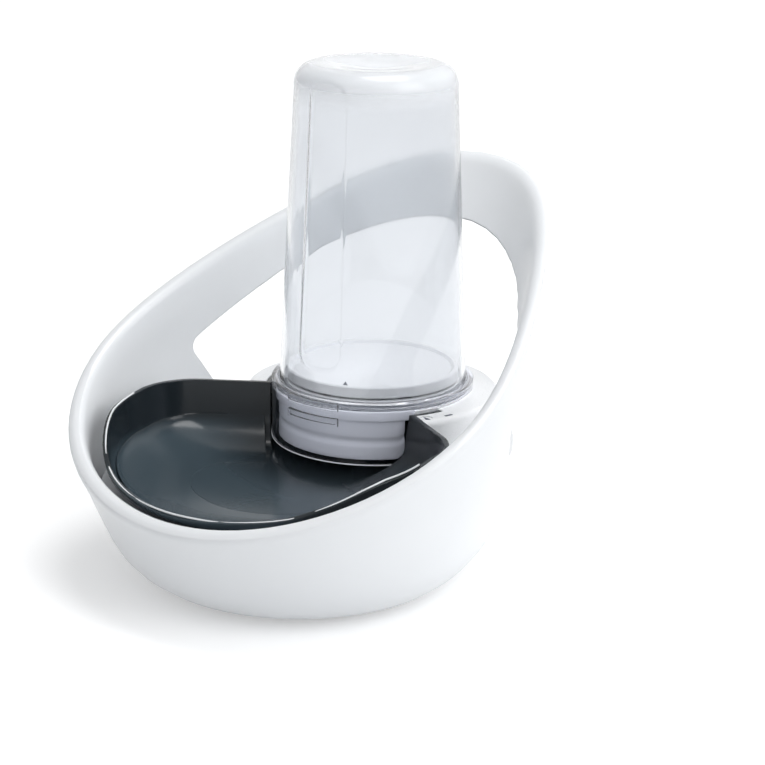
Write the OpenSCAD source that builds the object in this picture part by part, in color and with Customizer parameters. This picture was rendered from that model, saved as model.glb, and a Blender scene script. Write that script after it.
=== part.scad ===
/* [Shell outline] */
// Height that the rubber feet lift the shell off the floor
foot_proud = 1.5; // [1:0.1:2.5]
// Distance from the model's origin back to the axis of the bottle
axis_y = 32.7; // [31:0.1:34]
// Half width of the shell at its foot
foot_half_w = 83; // [81:0.5:86]
// Half width of the shell at the level of the drinking tray's floor
bowl_half_w = 100; // [98:0.5:104]
// Half width of the shell at the level of the carrying window
window_half_w = 116; // [114:0.5:120]
// Half width of the shell at the top of the arch
arch_half_w = 128; // [125:0.5:132]
// Distance from the bottle axis forward to the shell's foot
foot_front = 141.5; // [140:0.5:144]
// Distance from the bottle axis forward to the shell, low on the front wall
low_front = 154; // [152:0.5:156]
// Distance from the bottle axis forward to the shell at the front of the rim
rim_front = 168.5; // [166:0.5:171]
// Distance from the bottle axis back to the shell's foot
foot_rear = 70; // [69:0.5:73]
// Distance from the bottle axis back to the shell's waist
waist_rear = 51.5; // [50:0.5:54]
// Distance from the bottle axis back to the top of the arch
arch_rear = 102.5; // [99:0.5:106]
// Distance from the bottle axis forward to the shell's widest point, at its foot
widest_front = 58; // [55:0.5:61]
// How far the widest point moves forward for each millimetre of height
widest_slope = 0.204; // [0.18:0.002:0.23]

/* [Shell wall] */
// Thickness of the moulded wall
wall = 3.2; // [2.8:0.1:3.6]
// Width of the thickened band along the rim
rim_w = 7.4; // [6.5:0.1:8.5]
// Depth below the rim over which the band thins to the wall
rim_taper = 24; // [18:1:30]
// Height of the rim above the shell's foot, at the front
rim_low = 50; // [48:0.5:52]
// Height of the rim above the shell's foot, at the top of the arch
rim_high = 184; // [180:0.5:188]
// How far the rim bows up above the straight line from front to arch
rim_bow = 5.5; // [4:0.25:7]
// Radius that turns the outer wall under into the bottom
turn_r = 24; // [22:0.5:25]
// Width of the ledge inside the shell that the base plate bears against
ledge_w = 8; // [7:0.5:9]
// Thickness of that ledge
ledge_t = 2.7; // [2.4:0.1:3.2]

/* [Carrying window] */
// Height of the window's level sill above the shell's foot
sill_h = 64; // [62:0.5:65]
// Distance from the bottle axis forward to the front end of the sill
sill_front = 15; // [13:0.5:17]
// Distance from the bottle axis forward to the window's front corner
corner_front = 28; // [26:0.5:30]
// Height of the window's front corner above the shell's foot
corner_h = 89; // [87:0.5:91]
// Distance from the bottle axis back to the bend in the window's upper edge
bend_back = 34; // [31:0.5:37]
// Height of that bend above the shell's foot
bend_h = 134; // [132:0.5:136]
// Angle at which the upper edge climbs behind the bend
brow_angle = 27; // [24:0.5:29]
// Radius of the window's front corner
corner_r = 7; // [5:0.5:9]
// Thickness of the ribs that brace the screw bosses
gusset_t = 2.4; // [2:0.1:3]

/* [Base] */
// Thickness of the base plate
base_t = 2.7; // [2.4:0.1:3.2]
// Clearance round the base plate and the inner moulding
fit_gap = 0.4; // [0.3:0.05:0.6]
// Radius of each rubber foot
foot_r = 8; // [7:0.25:8.5]
// Depth of the pocket that each foot sits in
foot_pocket = 0.9; // [0.7:0.1:1.2]
// Sideways distance from the centre to each front foot
foot_x = 39.5; // [38:0.5:40]
// Distance from the bottle axis forward to the front feet
foot_ahead = 87.5; // [85:0.5:89]
// Sideways distance from the centre to each rear foot
rear_foot_x = 24; // [22:0.5:26]
// Distance from the bottle axis back to the rear feet
foot_behind = 14; // [12:0.5:16]
// Radius of the base screws' shanks
screw_r = 1.5; // [1.3:0.05:1.6]
// Radius of the screws' heads
screw_head_r = 3; // [2.8:0.1:3.3]
// Thickness of the screws' heads
screw_head_t = 1.6; // [1.4:0.1:1.8]
// Radius of the bosses that take the screws
boss_r = 4.2; // [3.8:0.1:4.6]
// Length of screw inside a boss
screw_grip = 8; // [6:0.5:10]

/* [Drum and deck] */
// Thickness of the inner moulding's walls
skin = 2.4; // [2.1:0.1:2.8]
// Radius of the drum round the bottle
drum_r = 63.5; // [62:0.5:64]
// Height of the drum's top above the shell's foot
drum_h = 79; // [78.5:0.1:79.3]
// Radius that rounds the drum's top edge
drum_round = 3; // [2:0.25:4]
// Radius of the round recess that holds the drum's alignment mark
mark_recess_r = 3; // [2.6:0.1:3.2]
// Angle from the front to the unlocked mark
mark_open_az = 62.5; // [61:0.5:64]
// Distance from the bottle axis to the alignment mark
mark_orbit = 58; // [56.5:0.1:58.5]
// Twist between the unlocked and the locked mark
twist = 11; // [9:0.5:12]

/* [Drinking tray] */
// Thickness of the tray's wall
tray_t = 2; // [1.8:0.1:2.3]
// Side clearance from the tray's rear lip to the shell's outer wall at the tray's floor
tray_side_gap = 11.7; // [11:0.1:13]
// Clearance from the front of the tray's lip to the shell's outer wall
tray_front_gap = 11.4; // [10.8:0.1:12]
// Distance from the bottle axis forward to the tray's widest line
tray_mid = 82.5; // [81:0.5:84]
// Fullness of the tray's front outline, where 2 is an ellipse
tray_full = 1.83; // [1.75:0.01:1.95]
// Height of the tray's rear lip above the shell's foot
tray_lip_h = 79; // [78:0.25:79.5]
// Height of the tray's front lip above the shell's foot
tray_front_h = 55.5; // [54.5:0.25:57]
// Height of the tray's floor above the shell's foot
tray_floor_h = 48; // [46.5:0.25:49]
// Inward lean of the tray's wall from the lip to the foot of the wall
tray_lean = 4.2; // [3.8:0.1:4.6]
// Radius of the bend between the tray's wall and floor
tray_bend = 14.7; // [14:0.1:15.5]
// Angle from the front to each radial rear edge of the tray
vee_az = 58.7; // [58:0.1:60]
// Radius of the tray's rear corners
tray_corner_r = 30; // [28:0.5:32]
// Radius of the tray's lobe under the bottle
lobe_r = 44; // [43.5:0.1:44.2]
// Height of the lobe's lip above the shell's foot
lobe_h = 68; // [66:0.5:68.5]

/* [Bottle] */
// Outer radius of the bottle at its foot
bottle_r = 46.9; // [46.7:0.1:47]
// Outer radius of the bottle where its shoulder begins
shoulder_r = 39.7; // [38.5:0.1:41]
// Thickness of the bottle's wall
bottle_t = 2.2; // [2:0.05:2.3]
// Height of the bottle's crown above the shell's foot
bottle_h = 241; // [235:1:245]
// Radius of the bottle's shoulder
shoulder_round = 9.5; // [8:0.5:11]
// Depth of the dish in the bottle's crown
crown_dish = 2.2; // [1.6:0.1:2.6]
// Depth of the grip panel in the bottle's wall
panel_depth = 0.9; // [0.6:0.05:1]
// Half angle of the grip panel
panel_az = 17.5; // [15:0.5:19]
// Height of the panel's lower end above the bottle's foot
panel_low = 14.5; // [12:0.5:18]
// Height of the panel's upper end above the bottle's foot
panel_high = 150; // [145:0.5:152]

/* [Collar and cap] */
// Outer radius of the clear collar
collar_r = 50.5; // [50.3:0.05:50.6]
// Thickness of the clear collar's skirt
collar_t = 1.8; // [1.6:0.05:1.9]
// Height of the collar's flange
flange_h = 4; // [3.6:0.1:4.4]
// Angle from the front to each end of the clear skirt
skirt_az = 61; // [60:0.5:61.5]
// Height of the collar's flange above the lower edge of its skirt
skirt_drop = 24; // [22:0.5:24.5]
// Half angle of the thumb tab on the collar
tab_az = 18; // [16:0.5:20]
// Thickness that the ribs on the thumb tab stand proud
tab_proud = 1.3; // [1:0.1:1.5]
// Outer radius of the cap's ring
ring_r = 48.4; // [48.2:0.05:48.5]
// Height of the cap's ring
ring_h = 5; // [4.6:0.1:5]
// Outer radius of the cap's skirt
apron_r = 47; // [46.6:0.1:47.2]
// Thickness of the cap's skirt
apron_t = 2; // [1.8:0.1:2.1]
// Angle from the front to each end of the cap's skirt
apron_az = 57.5; // [56:0.5:58]
// Height of the cap's skirt below its ring
apron_drop = 20.5; // [19:0.5:21]
// Outer radius of the lid on the cap
lid_r = 42.7; // [42:0.1:43]
// Height of the lid's rim above the cap's ring
lid_rise = 10.4; // [9.8:0.1:10.8]
// Length of the spout below the cap's floor
spout_len = 18; // [17:0.5:19]
// Radius of the spout's bore
spout_bore = 8; // [7.5:0.1:8.5]

/* [Valve] */
// Radius of the valve's stem
stem_r = 2.5; // [2.3:0.05:2.8]
// Radius of the valve's head
head_r = 10.5; // [10:0.1:11]
// Lift of the valve while the bottle stands on the dispenser
valve_lift = 2; // [1.6:0.1:2.4]
// Running clearance round the stem
stem_gap = 0.06; // [0.03:0.01:0.09]
// Outer radius of the valve's spring
spring_r = 5; // [4.6:0.1:5.4]
// Radius of the spring's wire
wire_r = 0.4; // [0.35:0.05:0.5]

/* [Electronics] */
// Thickness of the circuit boards
board_t = 1.6; // [1.2:0.1:2]
// Angle from the front to each end of the control board
board_az = 112; // [105:1:118]
// Radius of the reminder button
button_r = 3.7; // [3.4:0.1:3.8]
// Travel of the reminder button
button_travel = 0.8; // [0.6:0.1:1]
// Radius of one battery cell
cell_r = 7.25; // [7.25:0.05:7.3]
// Length of one battery cell
cell_len = 50.5; // [50:0.1:51]

/* [Hidden] */

seat_gap = 0.3;
columns = 40;
shell_n = 2 * columns;
eps = 0.01;
big = 400;

plate_top = foot_proud + base_t;
sill_z = foot_proud + sill_h;
drum_z = foot_proud + drum_h;
lip_z = foot_proud + tray_lip_h;
tray_floor_z = foot_proud + tray_floor_h;
lobe_z = foot_proud + lobe_h;
ring_proud = 1.5;
ring_z = drum_z + ring_proud - ring_h;
flange_z = ring_z + ring_h;
crown_z = foot_proud + bottle_h;
lobe_gap = fit_gap;
ledge_ring_z = ring_z - seat_gap;
cap_floor_drop = 1.5;
cap_floor_z = ring_z - cap_floor_drop;
spout_mouth_z = cap_floor_z - spout_len;
post_reach = 5;
post_top = spout_mouth_z + post_reach;

function lerp(a, b, t) = a + (b - a) * t;
function ease(t) = let (c = min(1, max(0, t))) c * c * (3 - 2 * c);
function polar(r, az) = [r * sin(az), axis_y - r * cos(az)];

// Smooth curve through stations [height, value], straight beyond its ends
function rise(p, q) = (q[1] - p[1]) / (q[0] - p[0]);
function heading(st, i) =
    i == 0 ? rise(st[0], st[1]) :
    i == len(st) - 1 ? rise(st[i - 1], st[i]) :
    let (before = st[i][0] - st[i - 1][0], after = st[i + 1][0] - st[i][0])
    (rise(st[i - 1], st[i]) * after + rise(st[i], st[i + 1]) * before) / (before + after);
function span(st, x, i = 0) = (i >= len(st) - 2 || x <= st[i + 1][0]) ? i : span(st, x, i + 1);
function blend(st, x, i, h, t) =
    (2 * t ^ 3 - 3 * t ^ 2 + 1) * st[i][1] + (t ^ 3 - 2 * t ^ 2 + t) * h * heading(st, i)
    + (3 * t ^ 2 - 2 * t ^ 3) * st[i + 1][1] + (t ^ 3 - t ^ 2) * h * heading(st, i + 1);
function smooth(st, x) =
    x < st[0][0] ? st[0][1] + heading(st, 0) * (x - st[0][0]) :
    x > st[len(st) - 1][0] ?
        st[len(st) - 1][1] + heading(st, len(st) - 1) * (x - st[len(st) - 1][0]) :
    let (i = span(st, x), h = st[i + 1][0] - st[i][0]) blend(st, x, i, h, (x - st[i][0]) / h);

// The shell's sections, at heights above its foot
function half_w(h) =
    smooth([[0, foot_half_w], [50, bowl_half_w], [110, window_half_w], [190, arch_half_w]], h);
function front_y(h) =
    axis_y - smooth([[0, foot_front], [30, low_front], [60, rim_front]], h);
function rear_y(h) =
    axis_y + smooth([[0, foot_rear], [50, foot_rear - 3.5], [110, waist_rear], [190, arch_rear]], h);
function widest_y(h) = axis_y - widest_front - widest_slope * h;
function rear_full(h) = 0.5 + 0.001 * h;

function bezier(p, t) =
    (1 - t) ^ 3 * p[0] + 3 * (1 - t) ^ 2 * t * p[1] + 3 * (1 - t) * t ^ 2 * p[2] + t ^ 3 * p[3];
function tangent(p, t) =
    (1 - t) ^ 2 * (p[1] - p[0]) + 2 * (1 - t) * t * (p[2] - p[1]) + t ^ 2 * (p[3] - p[2]);
function front_arc(h) =
    let (w = half_w(h), f = front_y(h), c = widest_y(h))
    [[0, f], [0.56 * w, f], [w, c - 0.54 * (c - f)], [w, c]];
function rear_arc(h) =
    let (w = half_w(h), r = rear_y(h), c = widest_y(h))
    [[w, c], [w, c + 0.39 * (r - c)], [rear_full(h) * w, r], [0, r]];

// Point on the shell's section at a height, moved inwards by an inset.
// The place runs from 0 at the front, over 1 at the widest point, to 2 at the rear.
function section_point(h, place, inset) =
    let (arc = place <= 1 ? front_arc(h) : rear_arc(h), t = place <= 1 ? place : place - 1,
         p = bezier(arc, t), d = tangent(arc, t), n = [-d[1], d[0]] / norm(d))
    p + inset * n;
function column_place(i, n) = 2 * (i <= n / 2 ? i : n - i) / (n / 2);
function mirrored(p, i, n) = i <= n / 2 ? p : [-p[0], p[1]];
function ring_point(h, i, n, inset) =
    mirrored(section_point(h, column_place(i, n), inset), i, n);
function shell_section(h, inset, n = shell_n) = [for (i = [0:n - 1]) ring_point(h, i, n, inset)];

// Height of the rim above the shell's foot, at a distance from front to rear
rim_start = front_y(rim_low);
rim_end = rear_y(rim_high);
function rim_h(y) =
    let (u = (y - rim_start) / (rim_end - rim_start))
    lerp(rim_low, rim_high, u) + 4 * rim_bow * u * (1 - u);
function rim_at(place, h = 110, turns = 14) =
    turns == 0 ? h : rim_at(place, rim_h(section_point(h, place, 0)[1]), turns - 1);

// The wall's section in each column: [inset, height], from the ledge round and back
function wall_at(depth) = wall + (rim_w - wall) * (1 - ease(depth / rim_taper));
turn_steps = 5;
wall_steps = 9;
inner_steps = 10;
lip_inset = [0, 0.05, 0.17, 0.38, 0.62, 0.85, 0.97];
lip_drop = [0.55, 0.26, 0.08, 0, 0, 0.08, 0.28];
function outer_turn() = [for (k = [0:turn_steps - 1])
    let (a = 90 * k / turn_steps) [turn_r * (1 - sin(a)), turn_r * (1 - cos(a))]];
function outer_wall(top) = [for (k = [0:wall_steps - 1])
    [0, lerp(turn_r, top - lip_drop[0] * rim_w, k / wall_steps)]];
function lip(top) = [for (k = [0:len(lip_inset) - 1])
    [lip_inset[k] * rim_w, top - lip_drop[k] * rim_w]];
function inner_wall(top) = [for (k = [0:inner_steps - 1])
    let (h = lerp(top - 0.6 * rim_w, turn_r + 1, (k / (inner_steps - 1)) ^ 0.8))
    [wall_at(top - h - 0.6 * rim_w), h]];
function inner_turn() = [for (k = [turn_steps - 1:-1:0])
    let (a = 90 * k / turn_steps, floor_h = base_t + ledge_t)
    [wall + (turn_r - wall) * (1 - sin(a)), floor_h + (turn_r - floor_h) * (1 - cos(a))]];
function ledge() =
    [[turn_r + ledge_w, base_t + ledge_t], [turn_r + ledge_w, base_t], [turn_r, base_t]];
function wall_profile(top) =
    concat(outer_turn(), outer_wall(top), lip(top), inner_wall(top), inner_turn(), ledge());

// A lip row follows the rim's own slope where it moves away from the outer edge
function shell_vertex(place, top, row) =
    let (p = section_point(row[1], place, row[0]),
         near_rim = 1 - ease((top - row[1]) / rim_taper),
         edge = section_point(top, place, 0),
         shift = near_rim * (rim_h(p[1]) - rim_h(edge[1])))
    [p[0], p[1], foot_proud + row[1] + shift];
function shell_column(i) =
    let (place = column_place(i, shell_n), top = rim_at(place))
    [for (row = wall_profile(top))
        let (v = shell_vertex(place, top, row)) i <= shell_n / 2 ? v : [-v[0], v[1], v[2]]];

module lofted_wall() {
    rows = len(wall_profile(rim_low));
    points = [for (i = [0:shell_n - 1]) each shell_column(i)];
    faces = [for (i = [0:shell_n - 1]) for (k = [0:rows - 1])
        let (a = i * rows, b = ((i + 1) % shell_n) * rows, m = (k + 1) % rows)
        each [[a + k, a + m, b + m], [a + k, b + m, b + k]]];
    polyhedron(points, faces);
}

// Outline with rounded corners, from corners [x, y, radius]
function unit(v) = v / norm(v);
function turned(c, prev, next, steps) =
    let (u = unit([prev[0] - c[0], prev[1] - c[1]]), v = unit([next[0] - c[0], next[1] - c[1]]),
         half = acos(u * v) / 2, reach = c[2] / tan(half), corner = [c[0], c[1]],
         centre = corner + unit(u + v) * (c[2] / sin(half)),
         a = corner + u * reach - centre, b = corner + v * reach - centre,
         sweep = (a[0] * b[1] > a[1] * b[0] ? 1 : -1) * (180 - 2 * half))
    [for (k = [0:steps]) let (s = sweep * k / steps)
        centre + [a[0] * cos(s) - a[1] * sin(s), a[0] * sin(s) + a[1] * cos(s)]];
function rounded(corners, steps = 6) = [for (i = [0:len(corners) - 1])
    let (c = corners[i], n = len(corners))
    each (c[2] == 0 ? [[c[0], c[1]]] :
        turned(c, corners[(i + n - 1) % n], corners[(i + 1) % n], steps))];

module carrying_window() {
    far = 130;
    corners = [
        [axis_y + far, sill_z, 0],
        [axis_y + far, foot_proud + bend_h + (far - bend_back) * tan(brow_angle), 0],
        [axis_y + bend_back, foot_proud + bend_h, 60],
        [axis_y - corner_front, foot_proud + corner_h, corner_r],
        [axis_y - sill_front, sill_z, corner_r]
    ];
    rotate([90, 0, 90])
        translate([0, 0, -big / 2]) linear_extrude(big) polygon(rounded(corners));
}

// Screws that join the base plate to the shell stand on the shell's ledge
shell_boss_places = [0.42, 0.92, 1.3, 1.7];
shell_boss_inset = turn_r + 0.6 * ledge_w;
function shell_boss_at(place, side) =
    let (p = section_point(base_t, place, shell_boss_inset)) [side * p[0], p[1]];
shell_bosses = [for (side = [-1, 1]) for (place = shell_boss_places) shell_boss_at(place, side)];
boss_top = plate_top + screw_grip + 1.5;
thread_gap = 0.03;

module gusset(place, side) {
    from = section_point(base_t, place, shell_boss_inset);
    to = section_point(base_t, place, 0.6 * turn_r);
    hull() {
        translate([side * from[0], from[1], plate_top + ledge_t - 1])
            cylinder(r = gusset_t / 2, h = screw_grip - 1, $fn = 8);
        translate([side * to[0], to[1], plate_top + ledge_t - 1])
            cylinder(r = gusset_t / 2, h = 4, $fn = 8);
    }
}

module outer_shell() {
    color("white") difference() {
        union() {
            lofted_wall();
            for (p = shell_bosses)
                translate([p[0], p[1], plate_top]) cylinder(r = boss_r, h = boss_top - plate_top, $fn = 24);
            for (side = [-1, 1]) for (place = shell_boss_places) gusset(place, side);
        }
        carrying_window();
        for (p = shell_bosses) translate([p[0], p[1], plate_top - 1])
            cylinder(r = screw_r + thread_gap, h = screw_grip + 1, $fn = 24);
    }
}

// The base plate, with its feet, screw holes and battery bay
bay_w = 3 * 2 * cell_r + 8;
bay_len = cell_len + 12;
bay_y = axis_y - 62;
cover_screw_y = bay_y + bay_len / 2 + 6;
lug_w = 16;
lug_t = 1.4;
lug_root = 6;
lug_y = bay_y + bay_len / 2 - lug_root;
feet_at = [for (side = [-1, 1]) each [
    [side * foot_x, axis_y - foot_ahead], [side * rear_foot_x, axis_y + foot_behind]]];
deck_bosses = [for (side = [-1, 1]) each [
    [side * 38, axis_y - 30], [side * 40, axis_y - 72]]];

module countersunk_hole(p) {
    translate([p[0], p[1], foot_proud - 1]) cylinder(r = screw_r + 0.2, h = base_t + 2, $fn = 24);
    translate([p[0], p[1], foot_proud - 1])
        cylinder(r = screw_head_r + 0.2, h = screw_head_t + 1, $fn = 24);
}

module base_plate() {
    color("white") difference() {
        translate([0, 0, foot_proud]) linear_extrude(base_t)
            polygon(shell_section(0, turn_r + fit_gap));
        for (p = feet_at)
            translate([p[0], p[1], foot_proud - 1]) cylinder(r = foot_r + 0.1, h = foot_pocket + 1, $fn = 48);
        for (p = concat(shell_bosses, deck_bosses)) countersunk_hole(p);
        translate([-bay_w / 2, bay_y - bay_len / 2, foot_proud - 1])
            cube([bay_w, bay_len, base_t + 2]);
        countersunk_hole([0, cover_screw_y]);
    }
}

module rubber_feet() {
    color("dimgray") for (p = feet_at)
        translate([p[0], p[1], 0]) cylinder(r = foot_r, h = foot_proud + foot_pocket, $fn = 48);
}

module screw(p, grip) {
    translate([p[0], p[1], foot_proud]) {
        cylinder(r = screw_head_r, h = screw_head_t, $fn = 24);
        cylinder(r = screw_r, h = base_t + grip, $fn = 24);
    }
}

module base_screws() {
    color("silver") for (p = shell_bosses) screw(p, screw_grip - 0.5);
}

module deck_screws() {
    color("silver") for (p = deck_bosses) screw(p, screw_grip - 0.5);
}

module battery_cover() {
    color("white") difference() {
        union() {
            translate([-bay_w / 2 + fit_gap, bay_y - bay_len / 2 + fit_gap, foot_proud])
                cube([bay_w - 2 * fit_gap, bay_len - 2 * fit_gap, 2]);
            translate([-lug_w / 2, lug_y, plate_top]) cube([lug_w, lug_root + 11, lug_t]);
            translate([-lug_w / 2, lug_y, foot_proud]) cube([lug_w, lug_root - 1, base_t + 0.4]);
        }
        translate([0, cover_screw_y, foot_proud - 1]) cylinder(r = screw_r, h = base_t + 5, $fn = 24);
    }
}

module cover_screw() {
    color("silver") screw([0, cover_screw_y], 1.2);
}

// The battery holder stands over the bay in the base plate
module battery_holder() {
    cover_t = 2;
    roof_z = foot_proud + cover_t + 2 * cell_r + 0.6;
    color("dimgray") difference() {
        translate([-bay_w / 2 - 2, bay_y - bay_len / 2 - 2, plate_top])
            cube([bay_w + 4, bay_len + 4, roof_z + 2 - plate_top]);
        translate([-bay_w / 2, bay_y - bay_len / 2, plate_top - 1])
            cube([bay_w, bay_len, roof_z - plate_top + 1]);
        translate([-lug_w / 2 - fit_gap, lug_y - 1, plate_top - 1])
            cube([lug_w + 2 * fit_gap, lug_root + 6, lug_t + 1.6]);
    }
}

module battery_cells() {
    pitch = 2 * cell_r + 0.4;
    color("steelblue") for (k = [-1, 0, 1])
        translate([k * pitch, bay_y, foot_proud + 2.3 + cell_r]) rotate([90, 0, 0]) {
            cylinder(r = cell_r, h = cell_len - 1, center = true, $fn = 48);
            translate([0, 0, k == 0 ? -1 : 1]) cylinder(r = 2.7, h = cell_len, center = true, $fn = 24);
        }
}

// The drinking tray's rounded outline, the same at every inset
tray_a = half_w(tray_floor_h) - tray_side_gap;
tray_bottom_h = tray_floor_h - tray_t;
tray_depth = tray_lip_h - tray_bottom_h;
bend_top_h = tray_bottom_h + tray_bend;
tray_mid_y = axis_y - tray_mid;
nose_ahead = axis_y - front_y(tray_front_h) - tray_front_gap;
tray_b = nose_ahead - tray_mid + tray_inset(tray_front_h);
apex_r = 30;
corner_x = tray_a - tray_corner_r;
corner_y = axis_y - (tray_corner_r + corner_x * cos(vee_az)) / sin(vee_az);
apex_y = axis_y - apex_r / sin(vee_az);

function tray_inset(h) =
    tray_lean * (tray_lip_h - h) / tray_depth
    + (h >= bend_top_h ? 0 :
        tray_bend * (1 - sqrt(max(0, 1 - ((bend_top_h - h) / tray_bend) ^ 2))));
front_steps = 20;
corner_steps = 9;
function dish_half(inset) = concat(
    [for (k = [front_steps:-1:0]) let (a = 90 * k / front_steps)
        [(tray_a - inset) * cos(a) ^ (2 / tray_full),
            tray_mid_y - (tray_b - inset) * sin(a) ^ (2 / tray_full)]],
    [for (k = [0:corner_steps]) let (a = vee_az * k / corner_steps)
        [corner_x + (tray_corner_r - inset) * cos(a), corner_y + (tray_corner_r - inset) * sin(a)]],
    [for (k = [0:3]) let (a = lerp(vee_az, 90, k / 3))
        [(apex_r - inset) * cos(a), apex_y + (apex_r - inset) * sin(a)]]);
function dish_outline(inset) = let (half = dish_half(inset), n = len(half))
    concat(half, [for (k = [n - 2:-1:1]) [-half[k][0], half[k][1]]]);
function lifted(outline, z) = [for (p = outline) [p[0], p[1], z]];

bend_steps = 7;
function dish_heights() = concat([tray_lip_h + 3], [for (k = [0:bend_steps])
    tray_bottom_h + tray_bend * (1 - sin(90 * k / bend_steps))]);

// Solid dish from stacked slices, its wall moved in and its floor up by a thickness
module solid_dish(t) {
    heights = dish_heights();
    n = len(dish_outline(0));
    lids = [[for (i = [0:n - 1]) i], [for (i = [0:n - 1]) n + i]];
    for (k = [0:len(heights) - 2])
        hull() polyhedron(
            concat(lifted(dish_outline(t + tray_inset(heights[k])), foot_proud + t + heights[k]),
                lifted(dish_outline(t + tray_inset(heights[k + 1])), foot_proud + t + heights[k + 1])),
            lids);
}

module wedge(r, az) {
    polygon(concat([[0, axis_y]], [for (k = [-4:4]) polar(r, az * k / 4)]));
}
module disc(r) {
    translate([0, axis_y]) rotate(0.7) circle(r, $fn = 96);
}
module sector(r, az) {
    intersection() {
        disc(r);
        wedge(2 * r, az);
    }
}

// The lobe clears the collar's skirt over its whole twist
sweep_r = collar_r + 0.7 + tray_t;
sweep_az = skirt_az + twist + 3.5;
module lobe_outline(gap) {
    disc(lobe_r + gap);
    sector(sweep_r + gap, sweep_az + gap);
}
module tray_outline(gap) {
    polygon(dish_outline(-gap));
    lobe_outline(gap);
}

// The lip's fall from rear to front: [share of the tray's reach, share of the fall left]
lip_fall = [[0.476, 1], [0.609, 0.885], [0.666, 0.838], [0.723, 0.71], [0.78, 0.532],
    [0.837, 0.349], [0.875, 0.22], [0.913, 0.15], [0.951, 0.09], [1, 0]];
function tray_lip(share) =
    foot_proud + lerp(tray_front_h, tray_lip_h, min(1, smooth(lip_fall, share)));

module above_lip() {
    steps = 28;
    line = [for (k = [0:steps]) let (share = lerp(0.4, 1.1, k / steps))
        [axis_y - share * nose_ahead, tray_lip(share)]];
    rotate([90, 0, 90]) translate([0, 0, -big / 2]) linear_extrude(big)
        polygon(concat([[axis_y + nose_ahead, lip_z]], line,
            [[axis_y - 1.1 * nose_ahead, big], [axis_y + nose_ahead, big]]));
}

module drinking_tray() {
    floor_z = tray_floor_z;
    bottom = tray_floor_z - tray_t;
    color("darkslategray") difference() {
        union() {
            difference() {
                union() {
                    solid_dish(0);
                    slab(bottom, lobe_z) lobe_outline(0);
                    slab(bottom + 1, lip_z) difference() {
                        sector(sweep_r - 0.1, sweep_az - 0.5);
                        disc(sweep_r - tray_t - 0.2);
                    }
                }
                solid_dish(tray_t);
                slab(floor_z, big) {
                    disc(lobe_r - tray_t);
                    sector(sweep_r - tray_t, sweep_az - 2.2);
                }
            }
            translate([0, axis_y, bottom]) cylinder(r = 3, h = post_top - bottom, $fn = 32);
        }
        above_lip();
    }
}

// The inner moulding: shelf under the tray, deck behind it and drum round the bottle
shelf_top = tray_floor_z - tray_t - seat_gap;
shelf_gap = fit_gap + 1.2;
deck_front_y = axis_y - 48;
ring_well_r = ring_r + 0.6;
step_r = ring_well_r + skin;
drum_low = sill_z + seat_gap;
drum_floor = drum_low + skin;
deck_hole_r = 55.6;
function lining(h, gap) = [for (i = [0:2:shell_n - 1])
    let (place = column_place(i, shell_n), top = rim_at(place))
    ring_point(h, i, shell_n, gap + wall_at(max(0, top - h - 0.6 * rim_w)))];

module slab(low, high) {
    translate([0, 0, low]) linear_extrude(high - low) children();
}
module behind(y) {
    translate([-big / 2, y]) square([big, big]);
}
module deck_area() {
    intersection() {
        polygon(lining(sill_h - skin, fit_gap));
        polygon(lining(sill_h, fit_gap));
        behind(deck_front_y);
    }
}
module shelf_area() {
    intersection() {
        polygon(lining(shelf_top - skin - foot_proud, shelf_gap));
        polygon(lining(shelf_top - foot_proud, shelf_gap));
    }
}
module under_drum(r) {
    difference() {
        disc(r);
        tray_outline(lobe_gap + skin);
    }
}
module drum_solid() {
    edge = drum_r - drum_round;
    translate([0, axis_y, 0]) rotate_extrude($fn = 96) union() {
        translate([0, drum_low]) square([drum_r, drum_z - drum_round - drum_low]);
        translate([0, drum_z - drum_round - 1]) square([edge, drum_round + 1]);
        translate([edge, drum_z - drum_round]) circle(drum_round, $fn = 32);
    }
}

button_orbit = (step_r + drum_r - skin) / 2;
button_at = polar(button_orbit, 180);
light_at = polar(button_orbit, 162);
board_z = drum_z - 10.5;
board_top = board_z + board_t;
board_boss_r = 3;
board_bosses = [for (az = [125, 235]) polar(step_r + board_boss_r - 0.8, az)];

module drum() {
    difference() {
        drum_solid();
        slab(0, big) difference() {
            square(2 * big, center = true);
            behind(deck_front_y);
        }
        slab(drum_floor, ledge_ring_z - skin) under_drum(drum_r - skin);
        slab(ledge_ring_z - skin - 1, drum_z - skin) difference() {
            under_drum(drum_r - skin);
            disc(step_r);
        }
        slab(0, drum_floor + 1) under_drum(deck_hole_r);
        translate([button_at[0], button_at[1], shelf_top]) cylinder(r = button_r + 0.25, h = big, $fn = 48);
        translate([light_at[0], light_at[1], shelf_top]) cylinder(r = 1.6, h = big, $fn = 24);
        let (p = polar(mark_orbit, mark_open_az)) translate([p[0], p[1], drum_z - 0.5])
            cylinder(r = mark_recess_r, h = 2, $fn = 32);
    }
}

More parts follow.
